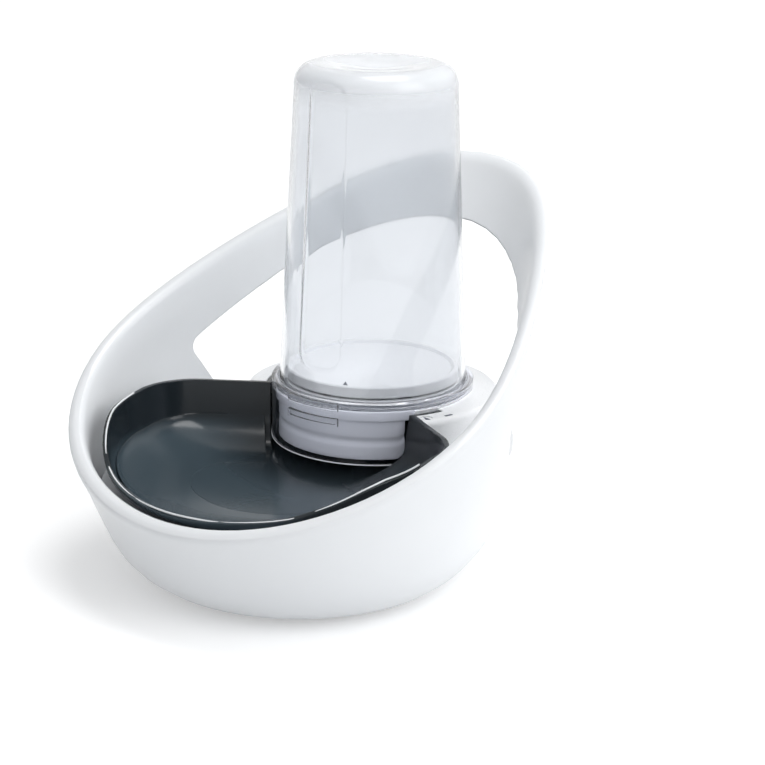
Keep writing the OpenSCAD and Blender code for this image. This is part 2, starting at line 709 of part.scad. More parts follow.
module inner_deck() {
    color("white") difference() {
        union() {
            slab(shelf_top - skin, shelf_top) shelf_area();
            slab(shelf_top - 0.5, sill_z - 0.5) intersection() {
                tray_outline(lobe_gap + skin);
                deck_area();
            }
            slab(sill_z - skin, sill_z) difference() {
                deck_area();
                under_drum(deck_hole_r);
            }
            slab(sill_z - 0.5, drum_low + 0.5) difference() {
                intersection() {
                    deck_area();
                    disc(drum_r - 1);
                }
                under_drum(deck_hole_r);
            }
            drum();
            for (p = board_bosses) translate([p[0], p[1], board_top])
                cylinder(r = board_boss_r, h = drum_z - skin / 2 - board_top, $fn = 24);
            for (p = deck_bosses) translate([p[0], p[1], plate_top])
                cylinder(r = boss_r, h = shelf_top - skin / 2 - plate_top, $fn = 32);
        }
        slab(shelf_top, big) tray_outline(lobe_gap);
        translate([0, axis_y, ledge_ring_z]) cylinder(r = ring_well_r, h = big, $fn = 96);
        for (p = deck_bosses)
            translate([p[0], p[1], plate_top - 1]) cylinder(r = screw_r, h = screw_grip + 1, $fn = 24);
        for (p = board_bosses)
            translate([p[0], p[1], board_z]) cylinder(r = 1, h = board_t + 5, $fn = 24);
    }
}

// Electronics in the drum and under the shelf
module control_board() {
    color("seagreen") difference() {
        translate([0, 0, board_z]) linear_extrude(board_t) difference() {
            disc(drum_r - skin - 0.6);
            disc(lobe_r + fit_gap + skin + 0.6);
            wedge(big, board_az);
        }
        for (p = board_bosses)
            translate([p[0], p[1], board_z - 1]) cylinder(r = 1.1, h = board_t + 2, $fn = 24);
    }
}
module board_screws() {
    color("silver") for (p = board_bosses) translate([p[0], p[1], board_z]) {
        translate([0, 0, -1.2]) cylinder(r = 2, h = 1.2, $fn = 24);
        cylinder(r = 1, h = board_t + 4.5, $fn = 24);
    }
}
switch_w = 6;
switch_body_h = 2;
switch_h = 2.6;
module button_switch() {
    color("silver") translate([button_at[0], button_at[1], board_top]) {
        translate([-switch_w / 2, -switch_w / 2, 0]) cube([switch_w, switch_w, switch_body_h]);
        cylinder(r = 1.6, h = switch_h, $fn = 24);
    }
}
module reminder_button() {
    foot_z = board_top + switch_h + seat_gap + button_travel;
    flange_top = drum_z - skin - seat_gap;
    color("lightgray") translate([button_at[0], button_at[1], 0]) {
        translate([0, 0, foot_z]) cylinder(r = 1.6, h = flange_top - foot_z - 0.5, $fn = 24);
        translate([0, 0, flange_top - 1]) cylinder(r = button_r + 0.8, h = 1, $fn = 48);
        translate([0, 0, flange_top - 0.5]) cylinder(r = button_r, h = drum_z - flange_top + 1.1, $fn = 48);
    }
}
module status_light() {
    color("lightcyan") translate([light_at[0], light_at[1], board_top])
        cylinder(r = 1.5, h = drum_z - board_top + 0.2, $fn = 24);
}
module radio_module() {
    p = polar(button_orbit - 1, 212);
    color("silver") translate([p[0], p[1], board_top]) rotate([0, 0, 32])
        translate([-7, -3.8, 0]) cube([14, 7.6, 2.2]);
}
module level_sensor() {
    color("seagreen") translate([-18, axis_y - 128, shelf_top - skin - board_t]) cube([36, 26, board_t]);
}

// The bottle, straight-sided and slightly tapered, closed at the crown
shoulder_z = crown_z - shoulder_round;
function bottle_wall_r(z) = lerp(bottle_r, shoulder_r, (z - flange_z) / (shoulder_z - flange_z));
module bottle_profile(t, low) {
    round_r = shoulder_round - t;
    top_r = shoulder_r - shoulder_round;
    top_z = crown_z - t;
    arc = [for (k = [0:8]) let (a = 90 * k / 8)
        [top_r + round_r * cos(a), shoulder_z + round_r * sin(a)]];
    polygon(concat([[0, low], [bottle_wall_r(low) - t, low]], arc,
        [[top_r - 2, top_z - 0.2], [top_r - 6, top_z - crown_dish], [0, top_z - crown_dish - 0.6]]));
}
module panel_cut() {
    low = flange_z + panel_low;
    high = flange_z + panel_high;
    rotate([0, 0, -90 - panel_az]) rotate_extrude(angle = 2 * panel_az, $fn = 96)
        polygon([[bottle_wall_r(low) - panel_depth, low], [bottle_r + 2, low],
            [bottle_r + 2, high], [bottle_wall_r(high) - panel_depth, high]]);
}
module water_bottle() {
    color([0.8, 0.84, 0.86, 0.4]) translate([0, axis_y, 0]) difference() {
        union() {
            rotate_extrude($fn = 96) bottle_profile(0, flange_z);
            translate([0, 0, flange_z]) cylinder(r = ring_r - 0.4, h = foot_bead_h, $fn = 96);
        }
        rotate_extrude($fn = 96) bottle_profile(bottle_t, flange_z - 1);
        panel_cut();
    }
}

// Rounds the lower corner of a skirt that ends at an angle
corner_cross = 0.15;
module corner_trim(az, side, z, r) {
    translate([0, axis_y, z]) rotate([0, 0, az]) rotate([90, 0, 0]) linear_extrude(big)
        difference() {
            translate([side > 0 ? -r : -1, -1]) square([r + 1, r + 1]);
            translate([-side * (r - corner_cross), r - corner_cross]) circle(r, $fn = 64);
        }
}
module ring_part(inner, outer, low, high) {
    rotate_extrude($fn = 96) translate([inner, low]) square([outer - inner, high - low]);
}
module skirt(inner, outer, low, high, az) {
    rotate([0, 0, -90 - az]) rotate_extrude(angle = 2 * az, $fn = 96)
        translate([inner, low]) square([outer - inner, high - low]);
}

foot_bead_h = 1.4;
collar_bore = bottle_r + seat_gap;
bead_bore = ring_r;
skirt_low = flange_z - skirt_drop;
tab_low = flange_z - 9;

module bottle_collar() {
    color([0.8, 0.84, 0.9, 0.4]) difference() {
        translate([0, axis_y, 0]) {
            ring_part(collar_bore, collar_r, flange_z + foot_bead_h + seat_gap, flange_z + flange_h);
            ring_part(bead_bore, collar_r, flange_z, flange_z + flange_h);
            skirt(collar_r - collar_t, collar_r, skirt_low, flange_z + 1, skirt_az);
            for (z = [tab_low, flange_z - 1])
                skirt(collar_r - 0.5, collar_r + tab_proud, z, z + 4, tab_az);
        }
        for (side = [-1, 1]) corner_trim(side * skirt_az, side, skirt_low, 6);
    }
}

lid_top = flange_z + lid_rise;
lid_low = lid_top - 5.4;
plug_top = lid_low - 1.2;
lid_floor = lid_top - 1.4;
lid_under = lid_floor - 2;
cap_floor_r = lobe_r - 0.1;
apron_low = ring_z - apron_drop;
groove_z = ring_z - 8.5;
seal_r = 0.95;
seal_z = flange_z + 2.3;
plug_r = bottle_r - bottle_t - 1.4;
seal_gap = 0.1;
seal_orbit = bottle_wall_r(seal_z + seal_r) - bottle_t - seal_gap - seal_r;
groove_floor_r = seal_orbit - seal_r - seal_gap;

module bottle_cap() {
    color("white") difference() {
        translate([0, axis_y, 0]) {
            ring_part(plug_r - 2.4, ring_r, ring_z, flange_z);
            ring_part(plug_r - 2.4, plug_r, ring_z, plug_top);
            ring_part(spout_bore, cap_floor_r, cap_floor_z, cap_floor_z + 2.5);
            ring_part(spout_bore, spout_bore + 2, cap_floor_z - spout_len, cap_floor_z + 1);
            ring_part(guide_r - 1, spout_bore + 1, guide_z - 1.5, guide_z);
            skirt(apron_r - apron_t, apron_r, apron_low, ring_z + 1, apron_az);
            difference() {
                ring_part(lid_r - 6, lid_r - 4, cap_floor_z + 1, lid_under);
                for (a = [0:60:300]) rotate([0, 0, a + 30])
                    translate([0, -3, cap_floor_z + 2.5]) cube([big, 6, lid_under - cap_floor_z]);
            }
        }
        translate([0, axis_y, 0])
            ring_part(groove_floor_r, plug_r + 1, seal_z - seal_r - seal_gap, seal_z + seal_r + seal_gap);
        translate([0, axis_y, 0]) ring_part(apron_r - 0.6, apron_r + 1, groove_z - 0.6, groove_z + 0.6);
        for (side = [-1, 1]) corner_trim(side * apron_az, side, apron_low, 5);
    }
}

module cap_lid() {
    color("white") translate([0, axis_y, 0]) rotate_extrude($fn = 96) polygon([
        [0, lid_under], [lid_r - 1.8, lid_under], [lid_r - 1.8, lid_low], [lid_r, lid_low],
        [lid_r, lid_top - 0.6], [lid_r - 0.6, lid_top], [lid_r - 2, lid_top],
        [lid_r - 3.5, lid_floor], [0, lid_floor + 0.4]]);
}

module mouth_seal() {
    color("dimgray") translate([0, axis_y, seal_z])
        rotate_extrude($fn = 96) translate([seal_orbit, 0]) circle(seal_r, $fn = 24);
}

// The valve: a guide in the spout, and a sprung plunger that the tray's post lifts
guide_r = spout_bore - 0.1;
guide_z = cap_floor_z - 9;
seat_z = cap_floor_z + 2.5;
gasket_t = 1.2;
head_low = seat_z + valve_lift + gasket_t;
head_t = 1.8;
head_top = head_low + head_t;

module valve_guide() {
    color("white") translate([0, axis_y, guide_z]) difference() {
        union() {
            difference() {
                cylinder(r = guide_r, h = 4, $fn = 48);
                translate([0, 0, -1]) cylinder(r = guide_r - 1.2, h = 6, $fn = 48);
            }
            cylinder(r = stem_r + 1.6, h = 4, $fn = 32);
            for (a = [0:120:240]) rotate([0, 0, a]) translate([stem_r + 0.5, -0.7, 0])
                cube([guide_r - stem_r - 1, 1.4, 4]);
        }
        translate([0, 0, -1]) cylinder(r = stem_r + stem_gap, h = 6, $fn = 48);
    }
}
module valve_plunger() {
    color("gray") translate([0, axis_y, 0]) {
        translate([0, 0, post_top + seat_gap]) cylinder(r = stem_r, h = head_top - post_top - seat_gap, $fn = 48);
        translate([0, 0, head_low]) cylinder(r = head_r, h = head_t, $fn = 48);
    }
}
module valve_gasket() {
    color("dimgray") translate([0, axis_y, 0]) difference() {
        translate([0, 0, head_low - gasket_t]) cylinder(r = head_r - 0.4, h = gasket_t, $fn = 48);
        translate([0, 0, head_low - 3]) cylinder(r = stem_r + 0.05, h = 4, $fn = 48);
    }
}

spring_turns = 3.5;
spring_steps = 16;
spring_low = head_top + wire_r + 0.05;
spring_high = lid_under - wire_r - 0.05;
function coil_centre(t) = let (a = 360 * spring_turns * t)
    [(spring_r - wire_r) * cos(a), (spring_r - wire_r) * sin(a), lerp(spring_low, spring_high, t)];
module valve_spring() {
    count = spring_turns * spring_steps;
    sides = 6;
    rings = [for (i = [0:count]) let (t = i / count, c = coil_centre(t), a = 360 * spring_turns * t)
        for (k = [0:sides - 1]) let (b = 360 * k / sides)
            c + wire_r * [cos(b) * cos(a), cos(b) * sin(a), sin(b)]];
    walls = [for (i = [0:count - 1]) for (k = [0:sides - 1])
        let (a = i * sides + k, b = i * sides + (k + 1) % sides) [a, b, b + sides, a + sides]];
    caps = [[for (k = [sides - 1:-1:0]) k], [for (k = [0:sides - 1]) count * sides + k]];
    color("silver") translate([0, axis_y, 0]) polyhedron(rings, concat(walls, caps));
}

outer_shell();
base_plate();
rubber_feet();
base_screws();
inner_deck();
deck_screws();
drinking_tray();
water_bottle();
bottle_collar();
bottle_cap();
cap_lid();
mouth_seal();
valve_guide();
valve_plunger();
valve_gasket();
valve_spring();
control_board();
board_screws();
radio_module();
level_sensor();
button_switch();
reminder_button();
status_light();
battery_holder();
battery_cells();
battery_cover();
cover_screw();
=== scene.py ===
import math

import bmesh
import bpy
from mathutils import Matrix, Vector


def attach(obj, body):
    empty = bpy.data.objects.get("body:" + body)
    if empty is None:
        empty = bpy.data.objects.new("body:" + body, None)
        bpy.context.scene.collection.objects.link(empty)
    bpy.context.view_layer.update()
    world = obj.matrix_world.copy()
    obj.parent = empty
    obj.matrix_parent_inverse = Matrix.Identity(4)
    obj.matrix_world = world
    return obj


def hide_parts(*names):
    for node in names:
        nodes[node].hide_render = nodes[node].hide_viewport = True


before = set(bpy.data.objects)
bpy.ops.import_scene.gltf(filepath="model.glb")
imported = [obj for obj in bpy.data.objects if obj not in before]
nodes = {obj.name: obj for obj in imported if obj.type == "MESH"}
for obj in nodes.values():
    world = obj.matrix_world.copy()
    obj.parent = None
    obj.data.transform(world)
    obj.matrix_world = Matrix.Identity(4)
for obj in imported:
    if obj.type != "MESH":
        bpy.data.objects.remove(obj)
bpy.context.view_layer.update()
print("stage: frame loaded,", len(nodes), "nodes")

axisY = 0.0327  # the upright axis of bottle, cap and drum


# the view of the photo

viewSettings = {
    "turnDeg": 35.5,  # round the dispenser, from its front
    "riseDeg": 17.35,
    "rollDeg": 0.82,
    "distance": 1.049,
    "targetZ": 0.0817,
    "slide": 0.005,  # sideways, along the picture
    "lens": 98.35,
    "sensor": 36,
    "clip": (0.05, 30),
}


def placeCamera(v):
    turn, rise, roll = (math.radians(v[k]) for k in ("turnDeg", "riseDeg", "rollDeg"))
    back = Vector((math.sin(turn) * math.cos(rise), -math.cos(turn) * math.cos(rise),
                   math.sin(rise)))
    flat = Vector((math.cos(turn), math.sin(turn), 0))
    up = back.cross(flat)
    right = math.cos(roll) * flat + math.sin(roll) * up
    top = -math.sin(roll) * flat + math.cos(roll) * up
    data = bpy.data.cameras.new("camera")
    data.lens = v["lens"]
    data.sensor_width = v["sensor"]
    data.clip_start, data.clip_end = v["clip"]
    cam = bpy.data.objects.new("camera", data)
    bpy.context.scene.collection.objects.link(cam)
    facing = Matrix((right, top, back)).transposed()
    spot = Vector((0, axisY, v["targetZ"])) + v["slide"] * right + v["distance"] * back
    cam.matrix_world = Matrix.Translation(spot) @ facing.to_4x4()
    bpy.context.scene.camera = cam


placeCamera(viewSettings)
print("stage: camera")


# short ways to build a node tree

def addNode(tree, kind, values=None, **settings):
    node = tree.nodes.new("ShaderNode" + kind)
    for key, value in settings.items():
        setattr(node, key, value)
    for key, value in (values or {}).items():
        node.inputs[key].default_value = value
    return node


def mathOn(tree, operation, *terms):
    node = addNode(tree, "Math", operation=operation)
    for socket, term in zip(node.inputs, terms):
        if isinstance(term, float):
            socket.default_value = term
        else:
            tree.links.new(term, socket)
    return node.outputs[0]


def rangeOn(tree, value, span, start, end, smooth=True):
    limits = {"From Min": span[0], "From Max": span[1], "To Min": start, "To Max": end}
    node = addNode(tree, "MapRange", limits,
                   interpolation_type="SMOOTHSTEP" if smooth else "LINEAR")
    tree.links.new(value, node.inputs["Value"])
    return node.outputs["Result"]


def coordsOn(tree, kind):
    return addNode(tree, "TexCoord").outputs[kind]


def partOn(tree, vector, letter):
    parts = addNode(tree, "SeparateXYZ")
    tree.links.new(vector, parts.inputs[0])
    return parts.outputs[letter]


def vectorOn(tree, operation, vector, other=(0, 0, 0)):
    node = addNode(tree, "VectorMath", {1: other}, operation=operation)
    tree.links.new(vector, node.inputs[0])
    return node.outputs["Value"]


# materials of plastic, rubber, steel and clear plastic

noiseSpans = {"shade": (0.35, 0.65), "roughness": (0.3, 0.7)}  # the part of the noise that counts
mixSockets = {"factor": 0, "first": 6, "second": 7, "result": 2}  # of the Mix node, in colours
bevelSamples = 6
finishDefaults = {"ior": 1.48, "metal": 0.0, "coat": 0.0, "coatRough": 0.05, "edge": 0.0}


def startMaterial(name):
    mat = bpy.data.materials.new(name)
    mat.use_nodes = True
    tree = mat.node_tree
    tree.nodes.clear()
    out = addNode(tree, "OutputMaterial")
    shader = addNode(tree, "BsdfPrincipled")
    tree.links.new(shader.outputs["BSDF"], out.inputs["Surface"])
    return mat, tree, shader


def noiseOn(tree, scale, detail, stretch=(1, 1, 1)):
    mapping = addNode(tree, "Mapping", {"Scale": stretch})
    noise = addNode(tree, "TexNoise", {"Scale": scale, "Detail": detail})
    tree.links.new(coordsOn(tree, "Object"), mapping.inputs["Vector"])
    tree.links.new(mapping.outputs["Vector"], noise.inputs["Vector"])
    return noise.outputs["Fac"]


def rampOn(tree, value, dark, light):
    ramp = addNode(tree, "ValToRGB")
    for stop, place, colour in zip(ramp.color_ramp.elements, noiseSpans["shade"], (dark, light)):
        stop.position = place
        stop.color = (*colour, 1)
    tree.links.new(value, ramp.inputs["Fac"])
    return ramp.outputs["Color"]


def cloudOn(tree, value, s):
    dark, light = (tuple(min(1.0, c * share) for c in s["colour"])
                   for share in (1 - s["cloud"], 1 + s["cloud"]))
    return rampOn(tree, value, dark, light)


def roughOn(tree, value, s):
    return rangeOn(tree, value, noiseSpans["roughness"], *s["roughness"], smooth=False)


def bumpOn(tree, shader, height, s):
    bump = addNode(tree, "Bump", {"Strength": 1.0, "Distance": s["grain"]})
    tree.links.new(height, bump.inputs["Height"])
    if s["edge"] > 0:  # rounds the edges a little, as a mould does
        soft = addNode(tree, "Bevel", {"Radius": s["edge"]}, samples=bevelSamples)
        tree.links.new(soft.outputs["Normal"], bump.inputs["Normal"])
    tree.links.new(bump.outputs["Normal"], shader.inputs["Normal"])


def paintedFloorLight(tree, shade, s):  # painted light: a paler low floor away from the bottle, standing in for the light the tray's floor reflects; kept off near the bottle, where the cap's shade falls
    where = coordsOn(tree, "Object")
    away = vectorOn(tree, "DISTANCE", where, (0, axisY, s["floorSpan"][0]))
    low = rangeOn(tree, partOn(tree, where, "Z"), s["floorSpan"], 1, 0)
    share = mathOn(tree, "MULTIPLY", low, rangeOn(tree, away, s["awaySpan"], 0, 1))
    paintedLightMix = addNode(tree, "Mix", data_type="RGBA")
    paintedLightMix.inputs[mixSockets["second"]].default_value = (*s["floor"], 1)
    tree.links.new(share, paintedLightMix.inputs[mixSockets["factor"]])
    tree.links.new(shade, paintedLightMix.inputs[mixSockets["first"]])
    return paintedLightMix.outputs[mixSockets["result"]]


def plastic(name, finish):
    s = {**finishDefaults, **finish}
    mat, tree, shader = startMaterial(name)
    broad = noiseOn(tree, s["cloudScale"], 3)
    fine = noiseOn(tree, s["grainScale"], 2)
    shade = cloudOn(tree, broad, s)
    # painted light: the tray's finish gets a paler low floor
    if "floor" in s:
        shade = paintedFloorLight(tree, shade, s)
    tree.links.new(shade, shader.inputs["Base Color"])
    tree.links.new(roughOn(tree, fine, s), shader.inputs["Roughness"])
    for socket, key in (("IOR", "ior"), ("Metallic", "metal"), ("Coat Weight", "coat"),
                        ("Coat Roughness", "coatRough")):
        shader.inputs[socket].default_value = s[key]
    bumpOn(tree, shader, fine, s)
    return mat


def heightHaze(tree, base, span, amount):
    height = partOn(tree, coordsOn(tree, "Object"), "Z")
    return mathOn(tree, "ADD", rangeOn(tree, height, span, 0, amount), base)


def clearPlastic(name, finish):
    s = {**finishDefaults, **finish}
    mat, tree, shader = startMaterial(name)
    broad = noiseOn(tree, s["cloudScale"], 2, s["stretch"])
    tree.links.new(cloudOn(tree, broad, s), shader.inputs["Base Color"])
    rough = roughOn(tree, broad, s)
    if "haze" in s:  # the wall hazes towards the crown
        rough = heightHaze(tree, rough, s["hazeSpan"], s["haze"])
    tree.links.new(rough, shader.inputs["Roughness"])
    shader.inputs["IOR"].default_value = s["ior"]
    shader.inputs["Transmission Weight"].default_value = 1.0
    if "milk" in s:  # and turns milky on the crown
        clear = heightHaze(tree, 1.0, s["milkSpan"], -s["milk"])
        tree.links.new(clear, shader.inputs["Transmission Weight"])
    bumpOn(tree, shader, broad, s)
    return mat


def dress(mat, *names):
    for nodeName in names:
        data = nodes[nodeName].data
        data.materials.clear()
        data.materials.append(mat)


smoothing = {"weld": 0.000002, "edgeDeg": 32}


def splitEdges(piece):
    piece.data.polygons.foreach_set("use_smooth", [True] * len(piece.data.polygons))
    split = piece.modifiers.new("edges", "EDGE_SPLIT")
    split.split_angle = math.radians(smoothing["edgeDeg"])


def smoothNode(piece):
    if "custom_normal" in piece.data.attributes:
        piece.data.attributes.remove(piece.data.attributes["custom_normal"])
    weld = piece.modifiers.new("weld", "WELD")
    weld.merge_threshold = smoothing["weld"]
    splitEdges(piece)


for nodeName in nodes:
    smoothNode(nodes[nodeName])


finishes = {
    "shellWhite": {
        "colour": (0.80, 0.82, 0.84), "cloud": 0.01, "cloudScale": 14,
        "roughness": (0.30, 0.36), "grain": 0.00002, "grainScale": 1800, "edge": 0.0008,
        "coat": 0.25, "coatRough": 0.12},
    "deckWhite": {
        "colour": (0.82, 0.835, 0.85), "cloud": 0.01, "cloudScale": 20,
        "roughness": (0.26, 0.32), "grain": 0.00001, "grainScale": 1800, "edge": 0.0006},
    "baseWhite": {
        "colour": (0.76, 0.78, 0.80), "cloud": 0.015, "cloudScale": 20,
        "roughness": (0.45, 0.55), "grain": 0.00004, "grainScale": 1500, "edge": 0.0004},
    "traySlate": {
        "colour": (0.013, 0.018, 0.022), "cloud": 0.05, "cloudScale": 18,
        "roughness": (0.14, 0.18), "grain": 0.000004, "grainScale": 900, "edge": 0.0008,
        # floor is a painted light colour for the tray's low floor, faded in by floorSpan and kept
        # off near the bottle by awaySpan
        "ior": 1.37, "floor": (0.045, 0.064, 0.078),
        "floorSpan": (0.0560, 0.0640), "awaySpan": (0.055, 0.090)},
    # a pale tube along the tray's lip: painted highlight
    "lipPaintedHighlight": {
        "colour": (0.78, 0.80, 0.82), "cloud": 0.04, "cloudScale": 40,
        "roughness": (0.14, 0.18), "grain": 0.000004, "grainScale": 900},
    # a pale tube along the collar skirt's edge: painted highlight
    "skirtPaintedHighlight": {
        "colour": (0.86, 0.88, 0.93), "cloud": 0.02, "cloudScale": 40,
        "roughness": (0.10, 0.14), "grain": 0.000004, "grainScale": 900},
    "capWhite": {
        "colour": (0.82, 0.83, 0.855), "cloud": 0.01, "cloudScale": 30,
        "roughness": (0.22, 0.28), "grain": 0.00001, "grainScale": 1800, "edge": 0.0005},
    "footRubber": {
        "colour": (0.02, 0.02, 0.022), "cloud": 0.1, "cloudScale": 60,
        "roughness": (0.7, 0.85), "grain": 0.00004, "grainScale": 1200, "edge": 0.0004},
    "screwSteel": {
        "colour": (0.60, 0.60, 0.62), "cloud": 0.05, "cloudScale": 200, "metal": 1.0,
        "roughness": (0.25, 0.4), "grain": 0.00001, "grainScale": 2500, "edge": 0.0002},
    "sealRubber": {
        "colour": (0.35, 0.36, 0.38), "cloud": 0.05, "cloudScale": 60,
        "roughness": (0.5, 0.6), "grain": 0.00002, "grainScale": 1500},
    "valveGrey": {
        "colour": (0.50, 0.52, 0.55), "cloud": 0.03, "cloudScale": 60,
        "roughness": (0.35, 0.45), "grain": 0.00001, "grainScale": 1500, "edge": 0.0003},
    "boardGreen": {
        "colour": (0.03, 0.20, 0.10), "cloud": 0.15, "cloudScale": 120,
        "roughness": (0.35, 0.5), "grain": 0.00002, "grainScale": 1500},
    "canMetal": {
        "colour": (0.70, 0.70, 0.72), "cloud": 0.04, "cloudScale": 150, "metal": 1.0,
        "roughness": (0.25, 0.35), "grain": 0.00001, "grainScale": 2500, "edge": 0.0003},
    "holderBlack": {
        "colour": (0.03, 0.03, 0.034), "cloud": 0.1, "cloudScale": 60,
        "roughness": (0.45, 0.6), "grain": 0.00003, "grainScale": 1500, "edge": 0.0004},
    "cellWrap": {
        "colour": (0.06, 0.14, 0.30), "cloud": 0.08, "cloudScale": 60,
        "roughness": (0.2, 0.3), "grain": 0.00001, "grainScale": 1500},
    "markGrey": {
        "colour": (0.05, 0.06, 0.09), "cloud": 0.05, "cloudScale": 300,
        "roughness": (0.4, 0.5), "grain": 0.00001, "grainScale": 2500},
}
clearFinishes = {
    "clearBottle": {
        "colour": (0.815, 0.83, 0.85), "cloud": 0.006, "cloudScale": 12,
        "roughness": (0.005, 0.02), "grain": 0.000006, "stretch": (1, 1, 0.25), "ior": 1.40,
        "hazeSpan": (0.13, 0.20), "haze": 0.10, "milkSpan": (0.222, 0.241), "milk": 0.45},
    "clearCollar": {
        "colour": (0.89, 0.905, 0.96), "cloud": 0.004, "cloudScale": 20,
        "roughness": (0.01, 0.03), "grain": 0.00001, "stretch": (1, 1, 0.25), "ior": 1.49,
        "edge": 0.0005},
    "lightClear": {
        "colour": (0.85, 0.93, 0.97), "cloud": 0.02, "cloudScale": 60,
        "roughness": (0.1, 0.2), "grain": 0.00001, "stretch": (1, 1, 0.25), "ior": 1.45,
        "edge": 0.0003},
}
dressing = {
    "shellWhite": ("outer_shell",),
    "deckWhite": ("inner_deck", "reminder_button"),
    "baseWhite": ("base_plate", "battery_cover"),
    "traySlate": ("drinking_tray",),
    "capWhite": ("bottle_cap", "cap_lid", "valve_guide"),
    "footRubber": ("rubber_feet",),
    "screwSteel": ("base_screws", "deck_screws", "board_screws", "cover_screw", "valve_spring"),
    "sealRubber": ("mouth_seal", "valve_gasket"),
    "valveGrey": ("valve_plunger",),
    "boardGreen": ("control_board", "level_sensor"),
    "canMetal": ("radio_module", "button_switch"),
    "holderBlack": ("battery_holder",),
    "cellWrap": ("battery_cells",),
    "lightClear": ("status_light",),
}
mats = {name: plastic(name, s) for name, s in finishes.items()}
mats.update({name: clearPlastic(name, s) for name, s in clearFinishes.items()})
for finishName, nodeNames in dressing.items():
    dress(mats[finishName], *nodeNames)
print("stage: materials")


# floor, sky and lamps of a pale studio

room = {
    "floorCorners": ((-9, -6, 0), (9, -6, 0), (9, 14, 0), (-9, 14, 0)),
    "floorColour": (0.86, 0.865, 0.87),
    "floorDark": 0.995,
    "floorNoise": 60,
    "floorRoughness": 0.9,
    "floorShine": 0.1,
    "glow": (0.36, 0.62),  # near the dispenser, and where the lamps no longer reach
    "glowSpan": (0.3, 2.2),
    "skyLight": (0.185, 0.74),  # on its dim side and on its bright side
    "skySpan": (-1.0, 0.8),
    "skyWay": (1.0, 0.25, 0.10),  # the way to its bright side
    "skyTint": (0.985, 0.99, 1.0),
    "whiteSpan": (-0.2, 0.5),  # where, towards the rear, reflections turn to plain white
}
lamps = {
    "keyLamp": {"spot": (1.3, 0.0, 1.0), "aim": (0, 0, 0.1), "size": (1.0, 1.0), "power": 8.7},
    "topLamp": {"spot": (0.1, 0.2, 1.6), "aim": (0, 0, 0), "size": (0.7, 0.7), "power": 10.2},
    "frontLamp": {"spot": (0.3, -1.7, 0.6), "aim": (0, 0, 0.1), "size": (0.9, 0.7), "power": 1.4},
}


def addPiece(name, mesh, material):
    mesh.materials.append(material)
    piece = bpy.data.objects.new(name, mesh)
    bpy.context.scene.collection.objects.link(piece)
    return piece


def buildFloor(r):
    mat, tree, shader = startMaterial("floorPaper")
    light = r["floorColour"]
    dark = tuple(c * r["floorDark"] for c in light)
    paper = rampOn(tree, noiseOn(tree, r["floorNoise"], 2), dark, light)
    tree.links.new(paper, shader.inputs["Base Color"])
    shader.inputs["Roughness"].default_value = r["floorRoughness"]
    shader.inputs["Specular IOR Level"].default_value = r["floorShine"]
    shader.inputs["Emission Color"].default_value = (1, 1, 1, 1)
    reach = vectorOn(tree, "LENGTH", coordsOn(tree, "Object"))
    glow = rangeOn(tree, reach, r["glowSpan"], *r["glow"], smooth=False)
    ray = addNode(tree, "LightPath").outputs
    seen = mathOn(tree, "MAXIMUM", ray["Is Camera Ray"], ray["Is Glossy Ray"])
    seen = mathOn(tree, "MAXIMUM", seen, ray["Is Transmission Ray"])
    tree.links.new(mathOn(tree, "MULTIPLY", seen, glow), shader.inputs["Emission Strength"])
    mesh = bpy.data.meshes.new("floor")
    mesh.from_pydata(r["floorCorners"], [], [(0, 1, 2, 3)])
    addPiece("floor", mesh, mat)


def buildSky(r):
    world = bpy.data.worlds.new("studio")
    bpy.context.scene.world = world
    world.use_nodes = True
    tree = world.node_tree
    tree.nodes.clear()
    way = coordsOn(tree, "Generated")
    plain = addNode(tree, "Background", {"Color": (*r["skyTint"], 1)})
    side = vectorOn(tree, "DOT_PRODUCT", way, r["skyWay"])
    light = rangeOn(tree, side, r["skySpan"], *r["skyLight"])
    tree.links.new(light, plain.inputs["Strength"])
    white = addNode(tree, "Background", {"Color": (1, 1, 1, 1), "Strength": 1.0})
    ray = addNode(tree, "LightPath").outputs
    rear = rangeOn(tree, partOn(tree, way, "Y"), r["whiteSpan"], 0, 1)
    seen = mathOn(tree, "MAXIMUM", ray["Is Camera Ray"],
                  mathOn(tree, "MULTIPLY", ray["Is Glossy Ray"], rear))
    seen = mathOn(tree, "MAXIMUM", seen, ray["Is Transmission Ray"])
    mix = addNode(tree, "MixShader")
    for source, socket in ((seen, 0), (plain.outputs[0], 1), (white.outputs[0], 2)):
        tree.links.new(source, mix.inputs[socket])
    out = addNode(tree, "OutputWorld")
    tree.links.new(mix.outputs[0], out.inputs["Surface"])


def addLamp(name, s):
    data = bpy.data.lights.new(name, "AREA")
    data.shape = "RECTANGLE"
    data.size, data.size_y = s["size"]
    data.energy = s["power"]
    lamp = bpy.data.objects.new(name, data)
    bpy.context.scene.collection.objects.link(lamp)
    lamp.location = s["spot"]
    lamp.rotation_mode = "QUATERNION"
    lamp.rotation_quaternion = (Vector(s["aim"]) - Vector(s["spot"])).to_track_quat("-Z", "Y")


buildFloor(room)
buildSky(room)
for lampName, lampSettings in lamps.items():
    addLamp(lampName, lampSettings)
print("stage: floor, sky and lamps")


# meshes from rows of points

def spaced(start, step, count):
    return [start + step * k for k in range(count)]


def spotOn(r, deg, z):  # deg runs round the bottle's axis, from the front
    a = math.radians(deg)
    return (r * math.sin(a), axisY - r * math.cos(a), z)


